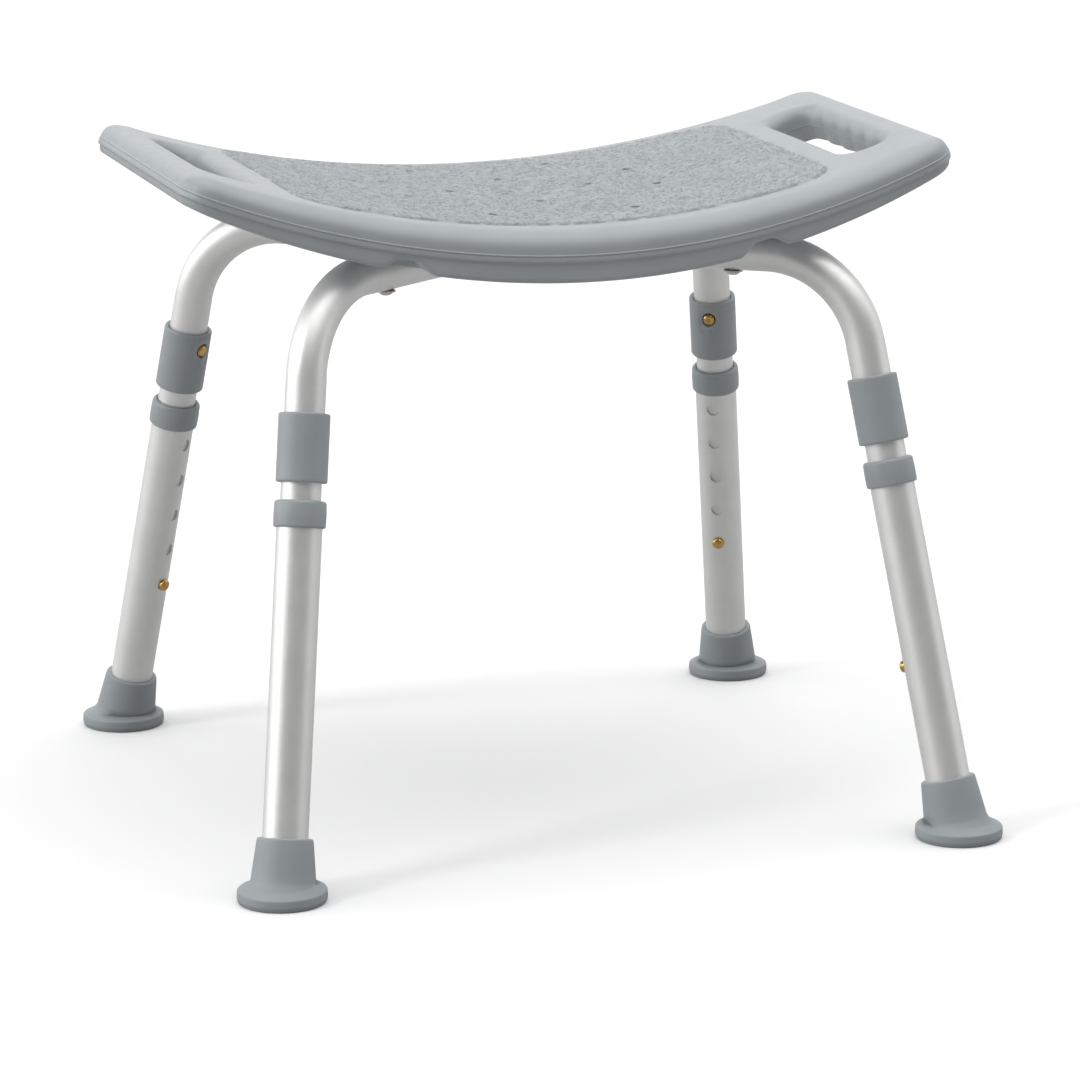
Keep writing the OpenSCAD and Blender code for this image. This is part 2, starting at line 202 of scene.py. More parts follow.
def to_cell_edge(x, y, size, seed):
    """Distance from each point to the nearest border between irregular cells of about that size."""
    i, j = np.floor(x / size), np.floor(y / size)
    nearest = np.full(x.shape, 1e9)
    second = nearest.copy()
    for di in (-1, 0, 1):
        for dj in (-1, 0, 1):
            cx = (i + di + 0.1 + 0.8 * hashed(i + di, j + dj, seed)) * size
            cy = (j + dj + 0.1 + 0.8 * hashed(i + di, j + dj, seed + 1)) * size
            distance = np.hypot(x - cx, y - cy)
            second = np.minimum(second, np.maximum(nearest, distance))
            nearest = np.minimum(nearest, distance)
    return (second - nearest) / 2


def make_piece(name, skin, matrix, body, material, replaced):
    """Turns a skin into a smooth-shaded piece that rides on a body and stands for a CAD node."""
    mesh = bpy.data.meshes.new(name)
    mesh.from_pydata((skin.points() * MM).tolist(), [], skin.faces)
    mesh.transform(matrix)
    mesh.polygons.foreach_set("use_smooth", np.ones(len(mesh.polygons), bool))
    mesh.materials.append(material)
    mesh.update()
    piece = bpy.data.objects.new(name, mesh)
    bpy.context.scene.collection.objects.link(piece)
    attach(piece, body)
    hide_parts(replaced)
    return piece


# ---------------------------------------------------------------- materials

class Nodes:
    """A material's node tree, with short ways to add nodes and links."""

    def __init__(self, name):
        self.material = bpy.data.materials.new(name)
        self.material.use_nodes = True
        self.tree = self.material.node_tree
        self.shader = self.tree.nodes["Principled BSDF"]
        self.place = self.node("ShaderNodeTexCoord").outputs["Object"]

    def node(self, kind, inputs=None, **settings):
        made = self.tree.nodes.new(kind)
        for key, value in settings.items():
            setattr(made, key, value)
        for key, value in (inputs or {}).items():
            if isinstance(value, bpy.types.NodeSocket):
                self.tree.links.new(value, made.inputs[key])
            else:
                made.inputs[key].default_value = value
        return made

    def noise(self, scale, detail=3.0, roughness=0.5):
        inputs = {"Vector": self.place, "Scale": scale, "Detail": detail, "Roughness": roughness}
        return self.node("ShaderNodeTexNoise", inputs).outputs["Fac"]

    def ranged(self, value, low, high, to_low, to_high):
        inputs = {"Value": value, "From Min": low, "From Max": high, "To Min": to_low, "To Max": to_high}
        return self.node("ShaderNodeMapRange", inputs).outputs["Result"]

    def combine(self, kind, first, second):
        """Two values put together by a sum such as ADD or MULTIPLY."""
        return self.node("ShaderNodeMath", {0: first, 1: second}, operation=kind).outputs[0]

    def colour(self, value, dark, light):
        """Mixes the dark colour, which may be another node's, into the light one as the value rises."""
        mix = self.tree.nodes.new("ShaderNodeMix")
        mix.data_type = "RGBA"
        factor, first, second, mixed = mix.inputs[0], mix.inputs[6], mix.inputs[7], mix.outputs[2]
        self.tree.links.new(value, factor)
        second.default_value = (*light, 1)
        if isinstance(dark, bpy.types.NodeSocket):
            self.tree.links.new(dark, first)
        else:
            first.default_value = (*dark, 1)
        return mixed

    def bump(self, height, strength, distance, under=None):
        inputs = {"Height": height, "Strength": strength, "Distance": distance}
        if under is not None:
            inputs["Normal"] = under
        return self.node("ShaderNodeBump", inputs).outputs["Normal"]

    def set(self, **sockets):
        for key, value in sockets.items():
            socket = self.shader.inputs[key.replace("_", " ")]
            if isinstance(value, bpy.types.NodeSocket):
                self.tree.links.new(value, socket)
            else:
                socket.default_value = value


def shade(colour, factor):
    return tuple(channel * factor for channel in colour)


def moulded_plastic(name, colour, roughness, grain, grain_depth):
    """Moulded plastic: faint mottling, a fine grain and a slightly uneven gloss."""
    nodes = Nodes(name)
    mottle = nodes.noise(38, 4)
    tint = nodes.colour(nodes.ranged(mottle, 0.3, 0.7, 0, 1), shade(colour, 0.965), shade(colour, 1.03))
    gloss = nodes.ranged(nodes.noise(160, 3), 0.3, 0.7, roughness - 0.05, roughness + 0.06)
    fine = nodes.bump(nodes.noise(grain, 2), 0.35, grain_depth)
    wavy = nodes.bump(nodes.noise(70, 2), 0.2, 0.00035, fine)
    nodes.set(Base_Color=tint, Roughness=gloss, Normal=wavy)
    return nodes.material


def wandering_creases(nodes):
    """Fine broken lines between irregular cells, from 0 to 1. The seat sinks them by bump and darkens its colour
    along them as painted shade.
    """
    noise_inputs = {"Vector": nodes.place, "Scale": 260, "Detail": 2}
    wander = nodes.node("ShaderNodeTexNoise", noise_inputs).outputs["Color"]
    reach = (0.005, 0.005, 0.005)
    moved = nodes.node("ShaderNodeVectorMath", {0: wander, 1: reach}, operation="MULTIPLY_ADD")
    nodes.tree.links.new(nodes.place, moved.inputs[2])
    cell_inputs = {"Vector": moved.outputs[0], "Scale": 230}
    cells = nodes.node("ShaderNodeTexVoronoi", cell_inputs, feature="DISTANCE_TO_EDGE")
    line = nodes.ranged(cells.outputs["Distance"], 0.0, 0.16, 1, 0)
    broken = nodes.ranged(nodes.noise(240, 2), 0.42, 0.54, 0, 1)
    return nodes.combine("MULTIPLY", line, broken)


def seat_plastic():
    """The seat's moulding. Its panel is duller, with a stipple and fine creases between the pebbles; the creases
    and the crevice round the panel are darkened in the colour as painted shade.
    """
    colour = (0.39, 0.42, 0.435)
    nodes = Nodes("seat_moulding")
    panel = nodes.node("ShaderNodeAttribute", attribute_name="panel").outputs["Fac"]
    # painted shade along the crevice round the panel, read from the seam attribute
    painted_seam_shade = nodes.node("ShaderNodeAttribute", attribute_name="seam").outputs["Fac"]
    mottle = nodes.ranged(nodes.noise(30, 4), 0.3, 0.7, 0, 1)
    plain = nodes.colour(mottle, shade(colour, 0.97), shade(colour, 1.03))
    creases = nodes.combine("MULTIPLY", wandering_creases(nodes), panel)
    # Painted shade: the colour darkens in the creases between the pebbles and along the crevice round the panel,
    # where shadow would fall.
    painted_shade = nodes.combine("MAXIMUM", nodes.ranged(creases, 0, 1, 0, 0.3), painted_seam_shade)
    tint = nodes.colour(nodes.ranged(painted_shade, 0, 1, 0, 0.5), plain, shade(colour, 0.1))
    gloss = nodes.ranged(nodes.noise(140, 3), 0.3, 0.7, 0.33, 0.42)
    rough = nodes.combine("ADD", gloss, nodes.combine("MULTIPLY", panel, 0.16))
    stipple = nodes.combine("MULTIPLY", nodes.noise(620, 3, 0.6), panel)
    fine = nodes.bump(nodes.noise(2600, 2), 0.25, 0.00005)
    coarse = nodes.bump(stipple, 0.6, 0.0005, fine)
    crease_inputs = {"Height": creases, "Distance": 0.0006, "Normal": coarse}
    sunk = nodes.node("ShaderNodeBump", crease_inputs, invert=True)
    nodes.set(Base_Color=tint, Roughness=rough, Normal=sunk.outputs["Normal"])
    return nodes.material


def satin_aluminium():
    """Anodised tube: satin, with faint die lines and handling marks."""
    nodes = Nodes("satin_aluminium")
    marks = nodes.ranged(nodes.noise(55, 5, 0.6), 0.35, 0.7, 0, 1)
    tint = nodes.colour(marks, (0.865, 0.865, 0.85), (0.91, 0.907, 0.895))
    gloss = nodes.ranged(nodes.noise(240, 4, 0.6), 0.3, 0.7, 0.40, 0.47)
    stretched = nodes.node("ShaderNodeMapping", {"Vector": nodes.place, "Scale": (1, 1, 0.04)})
    lines = nodes.node("ShaderNodeTexNoise", {"Vector": stretched.outputs[0], "Scale": 900, "Detail": 2})
    drawn = nodes.bump(lines.outputs["Fac"], 0.08, 0.00003)
    blasted = nodes.bump(nodes.noise(4200, 2), 0.12, 0.00002, drawn)
    nodes.set(Base_Color=tint, Metallic=0.7, Roughness=gloss, Normal=blasted)
    return nodes.material


def turned_metal(name, dark, light, roughness):
    """A small plated or turned metal part, slightly tarnished."""
    nodes = Nodes(name)
    patches = nodes.ranged(nodes.noise(420, 4, 0.6), 0.35, 0.7, 0, 1)
    gloss = nodes.ranged(nodes.noise(900, 3), 0.3, 0.7, roughness - 0.06, roughness + 0.08)
    fine = nodes.bump(nodes.noise(3000, 2), 0.2, 0.00004)
    nodes.set(Base_Color=nodes.colour(patches, dark, light), Metallic=1.0, Roughness=gloss, Normal=fine)
    return nodes.material


SEAT = seat_plastic()
COLLAR = moulded_plastic("collar_moulding", (0.35, 0.38, 0.395), 0.38, 1800, 0.00006)
RUBBER = moulded_plastic("foot_rubber", (0.33, 0.36, 0.375), 0.55, 1300, 0.0001)
ALUMINIUM = satin_aluminium()
BRASS = turned_metal("aged_brass", (0.55, 0.30, 0.09), (0.86, 0.55, 0.20), 0.27)
COPPER = turned_metal("coppered_screw", (0.55, 0.49, 0.45), (0.74, 0.68, 0.63), 0.35)
STEEL = turned_metal("plated_steel", (0.42, 0.42, 0.41), (0.60, 0.60, 0.59), 0.32)


# ---------------------------------------------------------------- seat
# The seat is drawn flat and then bent. s runs along the parting line from the middle, y across, and
# n stands square to the parting surface.

PARTING_R = 680          # radius of the parting line, from the side
PARTING_Z = 380.3        # its height at the middle
SHOULDER_W = 20          # width of the rounded shoulder, from above
SHOULDER_END_W = 15.5    # its width at the seat's two ends
SHOULDER_POWER = 2.3     # 2 would make it an ellipse from the side, more makes it squarer
CORNER_R = 22            # corners of the outline and of the panel, from above
SEAT_SPACING = 2.7       # distance between the points along the edge
SLOT_AT, SLOT_W, SLOT_LEN, SLOT_R = 220.5, 30.5, 156, 13    # handle slot: middle, size, corner
SLOT_LIP, SLOT_LIP_OUTBOARD, SLOT_LIP_H = 11, 7, 8.5        # its rounded lip: two widths, depth
GRIP_PITCH, GRIP_DEPTH = 26.6, 1.8                          # its finger grips
DRAIN_R, DRAIN_LIP = 3.25, 0.75
DRAINS = (
    [(x, y) for x in (-86.5, 86.5) for y in (-32, 32)]
    + [(x, y) for x in (-48.5, 48.5) for y in (-96.6, 0, 96.6)]
    + [(0, -47.7), (0, 47.7)]
)
PANEL_HALF, PANEL_IN, PANEL_H = 182, 28.6, 1.3    # panel: half length, distance from the edge, height
PEBBLE, PEBBLE_DEPTH = 4.8, 0.9                   # pebbles: size, depth of the grooves between them
SEAM_DEPTH = 0.9                                  # crevice round the panel
NOTCH_AT, NOTCH_H, NOTCH_IN = 116, 7.5, 36        # notch over a tube: middle, height, reach inwards
NOTCH_HALF, NOTCH_SLOPE = 18, 13                  # its half width, and the part of it that slopes
RUN_Z, CHANNEL_R = 366, 13                        # height of the tubes' level runs, their channels
POCKET_R = 47                                     # recess where the runs cross
CHANNEL_ROOF = RUN_Z + CHANNEL_R
BELOW_SEAT = 30                                   # drop of a recess's roof, outside the recess

seat_low, seat_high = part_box("seat_shell")
SEAT_HALF = PARTING_R * math.asin(seat_high.x / MM / PARTING_R)
SEAT_MID = seat_high.y / MM


def half_width(s):
    """Half the seat's width, wider at the middle than at the ends."""
    share = (s / SEAT_HALF) ** 2
    return SEAT_MID - 33.7 * share + 5.5 * share ** 2


def outline(half_len, inset, corner, spacing):
    """Points and inward normals, evenly spaced, of the seat's outline or one like it."""
    step = 0.01
    slope = math.atan((half_width(half_len - step) - half_width(half_len)) / step)
    centre = half_len - corner
    join = centre + corner * math.sin(slope)
    centre_y = half_width(join) - inset - corner * math.cos(slope)
    side = np.linspace(0, join, 300)[:-1]
    turn = np.linspace(math.pi / 2 - slope, 0, 60)
    end = np.linspace(centre_y, 0, 100)[1:]
    s = np.concatenate([side, centre + corner * np.cos(turn), np.full(len(end), half_len)])
    y = np.concatenate([half_width(side) - inset, centre_y + corner * np.sin(turn), end])
    quarter = np.column_stack([s, y])[::-1]
    back = np.concatenate([quarter, quarter[::-1][1:] * (-1, 1)])
    loop = np.concatenate([back, back[::-1][1:-1] * (1, -1)])
    lengths = np.hypot(*(np.roll(loop, -1, 0) - loop).T)
    along = np.concatenate([[0], np.cumsum(lengths)])
    count = 4 * round(along[-1] / spacing / 4)
    wanted = np.linspace(0, along[-1], count, endpoint=False)
    closed = np.vstack([loop, loop[:1]])
    points = np.column_stack([np.interp(wanted, along, closed[:, k]) for k in (0, 1)])
    tangent = np.roll(points, -1, 0) - np.roll(points, 1, 0)
    tangent /= np.hypot(*tangent.T)[:, None]
    return points, np.column_stack([-tangent[:, 1], tangent[:, 0]])


def box_distance(s, y, half_s, half_y, corner):
    """Signed distance to a rounded box, less than 0 inside."""
    a, b = np.abs(s) - half_s + corner, np.abs(y) - half_y + corner
    return np.hypot(np.maximum(a, 0), np.maximum(b, 0)) + np.minimum(np.maximum(a, b), 0) - corner


def shoulder(s):
    """Width of the rounded shoulder, narrower at the two ends, beyond the handle slots."""
    return SHOULDER_W - (SHOULDER_W - SHOULDER_END_W) * smooth((np.abs(s) - SEAT_HALF + 34) / 26)


def edge_distance(s, y):
    return box_distance(s, y, SEAT_HALF, half_width(s), CORNER_R)


def panel_distance(s, y):
    return box_distance(s, y, PANEL_HALF, half_width(s) - PANEL_IN, CORNER_R)


def slot_distance(s, y):
    """Distance to a slot's wall, in widths of the rounded lip that runs round it."""
    out = np.abs(s) - SLOT_AT
    return box_distance(out, y, SLOT_W / 2, SLOT_LEN / 2, SLOT_R) / slot_lip(out)


def slot_lip(out):
    """Width of a slot's rounded lip, narrower outboard of the slot's middle."""
    return SLOT_LIP + (SLOT_LIP_OUTBOARD - SLOT_LIP) * smooth(0.5 + out / SLOT_W)


def drain_distance(s, y):
    return np.min([np.hypot(s - a, y - b) for a, b in DRAINS], axis=0)


def pebbles(s, y):
    """Depth of the irregular grooves between the panel's pebbles, from 0 to 1."""
    warp_s = s + 3.4 * (noise(s, y, 7, 11) - 0.5) + 1.2 * (noise(s, y, 2.6, 12) - 0.5)
    warp_y = y + 3.4 * (noise(s, y, 7, 13) - 0.5) + 1.2 * (noise(s, y, 2.6, 14) - 0.5)
    groove = 1 - smooth(to_cell_edge(warp_s, warp_y, PEBBLE, 21) / 0.95)
    return groove * smooth((noise(s, y, 5, 31) - 0.12) / 0.4)


def seam(s, y):
    """Broken crevice along the foot of the panel's edge, from 0 to 1. It sinks the top, and the seat's colour is
    also darkened along it as painted shade.
    """
    return np.exp(-((panel_distance(s, y) - 0.5) / 0.7) ** 2) * smooth((noise(s, y, 6, 51) - 0.3) / 0.2)


def top(s, y):
    """Height of the top, above the parting surface, without its panel."""
    across = np.clip(np.abs(y) / (half_width(s) - SHOULDER_W), 0, 1)
    along = np.clip(np.abs(s) / (SEAT_HALF - SHOULDER_W), 0, 1)
    return 15.3 - 3.6 * (s / SEAT_HALF) ** 2 + 1.25 * (1 - across ** 2) * (1 - along ** 4)


def textured_top(s, y):
    """The same with the raised panel, its pebbles and the lumps on them."""
    from_border = panel_distance(s, y)
    raised = smooth(0.5 - from_border / 0.7)
    lumps = 0.28 * (noise(s, y, 3.2, 41) - 0.5) + 0.3 * (noise(s, y, 9, 42) - 0.5)
    from_drain = drain_distance(s, y) - DRAIN_R - DRAIN_LIP
    rough = (lumps - PEBBLE_DEPTH * pebbles(s, y)) * smooth(from_drain / 1.5)
    return top(s, y) + raised * (PANEL_H + rough) - SEAM_DEPTH * seam(s, y)


def skirt(s):
    """Depth of the skirt's lower edge below the parting surface, before its notches."""
    return 18.1 - 8.6 * (s / SEAT_HALF) ** 2


def notch(s):
    return NOTCH_H * smooth((NOTCH_HALF - np.abs(np.abs(s) - NOTCH_AT)) / NOTCH_SLOPE)


def below_parting(s, z):
    """n at which the bent seat reaches the height z."""
    return PARTING_R - (PARTING_Z + PARTING_R - z) / np.cos(s / PARTING_R)


def run_azimuth():
    """Direction of a frame tube's level run, as seen from above: it ends over the leg's line."""
    matrix = leg_matrix("br")
    up = matrix.to_3x3().col[2]
    point = matrix.translation + up * (RUN_Z * MM / up.z)
    return math.atan2(point.y, point.x)


def under(s, y):
    """Height of the underside, with the notches and the recesses for the tubes and their crossing."""
    n = -skirt(s)
    inwards = half_width(s) - np.abs(y)
    n = n + notch(s) * smooth((NOTCH_IN + 1 - inwards) / 1.5)
    x = (PARTING_R + 12) * np.sin(s / PARTING_R)
    azimuth = run_azimuth()
    for sign in (-1, 1):
        off = np.abs(-x * math.sin(sign * azimuth) + y * math.cos(azimuth))
        arch = np.sqrt(np.maximum(CHANNEL_R ** 2 - off ** 2, 0))
        roof = RUN_Z + arch - BELOW_SEAT * smooth((off - CHANNEL_R) / 0.9)
        n = np.maximum(n, below_parting(s, roof))
    roof = CHANNEL_ROOF - BELOW_SEAT * smooth((np.hypot(x, y) - POCKET_R) / 1.2)
    return np.maximum(n, below_parting(s, roof))


def skirt_rings(skin, edge, inwards):
    """The outside from the underside's rim up to the shoulder's top, ring by ring."""
    s = edge[:, 0]
    low = -skirt(s) + notch(s)
    rings = []

    def ring(inset, n):
        place = edge + inwards * inset
        rings.append(skin.add(np.column_stack([place, n + np.zeros(len(edge))])))

    bottom_r, wall_in, groove_n = 3.5, 2.4, -4.6
    for turn in np.linspace(0, math.pi / 2, 6):
        ring(wall_in + bottom_r * (1 - math.sin(turn)), low + bottom_r * (1 - math.cos(turn)))
    for share in (0.35, 0.7, 0.93):
        ring(wall_in - 0.6 * share, low + bottom_r + (groove_n - low - bottom_r) * share)
    # The mould's joint: a groove, a slightly bulged band and a thin ridge
    for inset, n in (
        (1.75, -4.75), (1.3, -4.5), (0.62, -4.35), (0.42, -4.1), (0.25, -3.2), (0.2, -2.2), (0.3, -1.3),
        (0.5, -0.75), (0.45, -0.55), (0.1, -0.4), (0, -0.2), (0, 0.15), (0.1, 0.35), (0.42, 0.5), (0.5, 0.75)
    ):
        ring(inset, n)
    foot_in, foot_n = 0.55, 1.2
    width = shoulder(s)[:, None]
    height = top(s, edge[:, 1]) - foot_n
    for turn in np.linspace(0, math.pi / 2, 17)[:-1]:
        inset = foot_in + (width - foot_in) * (1 - math.cos(turn) ** (2 / SHOULDER_POWER))
        ring(inset, foot_n + height * math.sin(turn) ** (2 / SHOULDER_POWER))
    place = edge + inwards * width
    rings.append(skin.add(np.column_stack([place, top(place[:, 0], place[:, 1])])))
    skin.loft(rings)
    return rings[0], rings[-1]


def slot_rings(skin, side):
    """A handle slot's wall from its rounded upper rim down to the underside, with finger grips outboard."""
    straight = np.array([[SLOT_W / 2 - SLOT_R, SLOT_LEN / 2 - SLOT_R]])
    quarter = np.linspace(0, math.pi / 2, 9)
    corners = [
        (np.column_stack([np.cos(quarter + k * math.pi / 2), np.sin(quarter + k * math.pi / 2)]), flips)
        for k, flips in enumerate(((1, 1), (-1, 1), (-1, -1), (1, -1)))
    ]
    centre, outwards = [], []
    for direction, flips in corners:
        outwards.append(direction)
        centre.append(np.repeat(straight * flips, len(direction), 0))
    for k in range(4):
        a, b = centre[k][-1], centre[(k + 1) % 4][0]
        count = max(2, round(np.hypot(*(b - a)) / 1.8))
        share = np.linspace(0, 1, count, endpoint=False)[1:, None]
        centre[k] = np.vstack([centre[k], a + (b - a) * share])
        outwards[k] = np.vstack([outwards[k], np.repeat(outwards[k][-1:], count - 1, 0)])
    centre, outwards = np.vstack(centre), np.vstack(outwards)
    wall = centre + outwards * SLOT_R
    lip = slot_lip(wall[:, 0] * side)
    wall[:, 0] += side * SLOT_AT
    y = wall[:, 1]
    grip = np.abs(np.sin(math.pi * y / GRIP_PITCH)) * smooth((SLOT_LEN / 2 - 2 - np.abs(y)) / 8)
    grip = grip * (outwards[:, 0] * side > 0.9) * GRIP_DEPTH
    rings = []

    def ring(out, n, grips=0.0):
        place = wall + outwards * (out - grips * grip)[:, None]
        rings.append(skin.add(np.column_stack([place, n])))

    rim = wall + outwards * lip[:, None]
    rim_n = top(rim[:, 0], rim[:, 1])
    flat = np.zeros(len(wall))
    for turn in np.linspace(0, math.pi / 2, 13):
        ring(lip * (1 - math.sin(turn)), rim_n - SLOT_LIP_H * (1 - math.cos(turn)), 1 - math.cos(turn))
    for n, out in ((0.9, 0.0), (0.45, 0.0), (0.15, -0.25), (-0.15, -0.25), (-0.45, 0.0), (-1.2, 0.05)):
        ring(flat + out, flat + n, 1)
    lower_lip = 2.5
    rim = wall + outwards * lower_lip
    low = under(rim[:, 0], rim[:, 1])
    for turn in np.linspace(0, math.pi / 2, 6):
        out = lower_lip * (1 - math.cos(turn))
        ring(flat + out, low + lower_lip * (1 - math.sin(turn)), math.cos(turn))
    skin.loft(rings)
    return rings[0], rings[-1]


def drain_rings(skin, s, y):
    """A drain hole's wall, from its softened rim down to the underside."""
    rings = []
    for out, sunk in ((DRAIN_LIP, 0), (DRAIN_LIP * 0.5, 0.14), (DRAIN_LIP * 0.15, 0.5), (0, 1.1)):
        place = circle(24, DRAIN_R + out, (s, y))
        rings.append(skin.add(np.column_stack([place, textured_top(*place.T) - sunk])))
    place = circle(24, DRAIN_R, (s, y))
    for share in (0.5, 1):
        height = top(*place.T) * (1 - share) + under(*place.T) * share
        rings.append(skin.add(np.column_stack([place, height])))
    skin.loft(rings)
    return rings[0], rings[-1]


def top_points():
    """Free points of the top: close together on the panel and along its border, wider on the margins."""
    border, inwards = outline(PANEL_HALF, PANEL_IN, CORNER_R, 1.25)
    panel = lattice(PANEL_HALF, SEAT_MID, 1.22)
    panel = panel[panel_distance(*panel.T) < -2.7]
    margin = lattice(SEAT_HALF, SEAT_MID, 3.2)
    flat_top = edge_distance(*margin.T) < -shoulder(margin[:, 0]) - 1.5
    margin = margin[(panel_distance(*margin.T) > 3) & flat_top]
    rows = [border + depth * inwards for depth in (-1.4, -0.6, 0.35, 1.2, 2.1)]
    points = np.vstack([*rows, panel, margin])
    clear = (slot_distance(*points.T) > 1.15) & (drain_distance(*points.T) > DRAIN_R + DRAIN_LIP + 0.6)
    return points[clear]


def under_points():
    """Free points of the underside, close together where its recesses begin and end."""
    azimuth = run_azimuth()
    beside = np.array([4, 8, 11.5, 12.9, 13.8, 14.4])
    along, off = np.meshgrid(np.arange(-175, 175, 3.0), np.concatenate([-beside[::-1], [0], beside]))
    lines = []
    for sign in (-1, 1):
        across = (-sign * math.sin(azimuth), math.cos(azimuth))
        run = (math.cos(azimuth), sign * math.sin(azimuth))
        lines.append(np.column_stack([(along * run[k] + off * across[k]).ravel() for k in (0, 1)]))
    rings = [circle(120, POCKET_R + out) for out in (-2, -0.3, 1.3, 3)]
    notches = []
    for inset in (NOTCH_IN - 0.8, NOTCH_IN + 1.2):
        s = np.arange(NOTCH_AT - 20, NOTCH_AT + 20, 1.5)
        y = half_width(s) - inset
        notches += [np.column_stack([a * s, b * y]) for a in (-1, 1) for b in (-1, 1)]
    points = thin_out(np.vstack([*rings, *notches, *lines, lattice(SEAT_HALF, SEAT_MID, 3.6)]), 0.55)
    clear = (slot_distance(*points.T) > 0.6) & (drain_distance(*points.T) > DRAIN_R + 0.9)
    return points[clear & (edge_distance(*points.T) < -7.2)]


def bent(points):
    """The flat seat, bent to its curve."""
    s, y, n = points.T
    turn = s / PARTING_R
    reach = PARTING_R - n
    return np.column_stack([reach * np.sin(turn), y, PARTING_Z + PARTING_R - reach * np.cos(turn)])


def make_seat():
    """The seat as one closed skin: its skirt, slots and drains first, then the sheets that join them."""
    skin = Skin()
    edge, inwards = outline(SEAT_HALF, 0, CORNER_R, SEAT_SPACING)
    rims = [skirt_rings(skin, edge, inwards)[::-1]]
    rims += [slot_rings(skin, side) for side in (-1, 1)]
    rims += [drain_rings(skin, s, y) for s, y in DRAINS]
    sheets = ((0, top_points(), textured_top, False), (1, under_points(), under, True))
    for level, free, height, flip in sheets:
        loops = [rim[level] for rim in rims]
        flat = np.vstack([skin.points()[np.concatenate(loops), :2], free])
        ids = np.concatenate([*loops, skin.add(np.column_stack([free, height(*free.T)]))])
        skin.fill([len(loop) for loop in loops], ids, flat, flip)
    flat_points = skin.points()
    skin.blocks = [bent(flat_points)]
    seat = make_piece("seat", skin, Matrix.Identity(4), "frame", SEAT, "seat_shell")
    s, y, n = flat_points.T
    # The seam share darkens the seat's colour as painted shade in the crevice round the panel.
    shares = {"panel": smooth(0.5 - panel_distance(s, y) / 1.5), "seam": seam(s, y)}
    for name, share in shares.items():
        share = np.where(n > 5, share, 0).astype(np.float32)    # on the top only
        seat.data.attributes.new(name, "FLOAT", "POINT").data.foreach_set("value", share)


# ---------------------------------------------------------------- collars, rings and feet

def lathe(skin, profile, count=96):
    """Rings about z, one for each radius and height of a profile."""
    rings = []
    for radius, height in profile:
        ring = circle(count, radius)
        rings.append(skin.add(np.column_stack([ring, np.full(count, height)])))
    skin.loft(rings)
    return rings


def rounded(points, arcs):
    """A profile with its corners rounded. arcs holds a radius for each point, 0 for a sharp one."""
    made = []
    count = len(points)
    for k, radius in enumerate(arcs):
        here = np.array(points[k], float)
        if radius == 0:
            made.append(tuple(here))
            continue
        before = np.array(points[k - 1], float) - here
        after = np.array(points[(k + 1) % count], float) - here
        before /= np.hypot(*before)
        after /= np.hypot(*after)
        half = math.acos(np.clip(before @ after, -1, 1)) / 2
        reach = radius / math.tan(half)
        centre = here + (before + after) / np.hypot(*(before + after)) * radius / math.sin(half)
        start, end = here + before * reach - centre, here + after * reach - centre
        turn = math.atan2(start[0] * end[1] - start[1] * end[0], start @ end)
        for share in np.linspace(0, 1, 6):
            a = turn * share
            made.append((
                centre[0] + start[0] * math.cos(a) - start[1] * math.sin(a),
                centre[1] + start[0] * math.sin(a) + start[1] * math.cos(a)
            ))
    return made


def collar_recess(u, v):
    """Depth of the soft hollow around a collar's window. u runs round the collar and v along it."""
    around = np.hypot(u / 7.4, v / 7.0)
    lobes = [np.hypot((u - side * 3.3) / 4.2, (v + 6.2) / 4.4) for side in (-1, 1)]
    nearest = np.min([around, *lobes], axis=0)
    return 0.75 * smooth((1.12 - nearest) / 0.3)


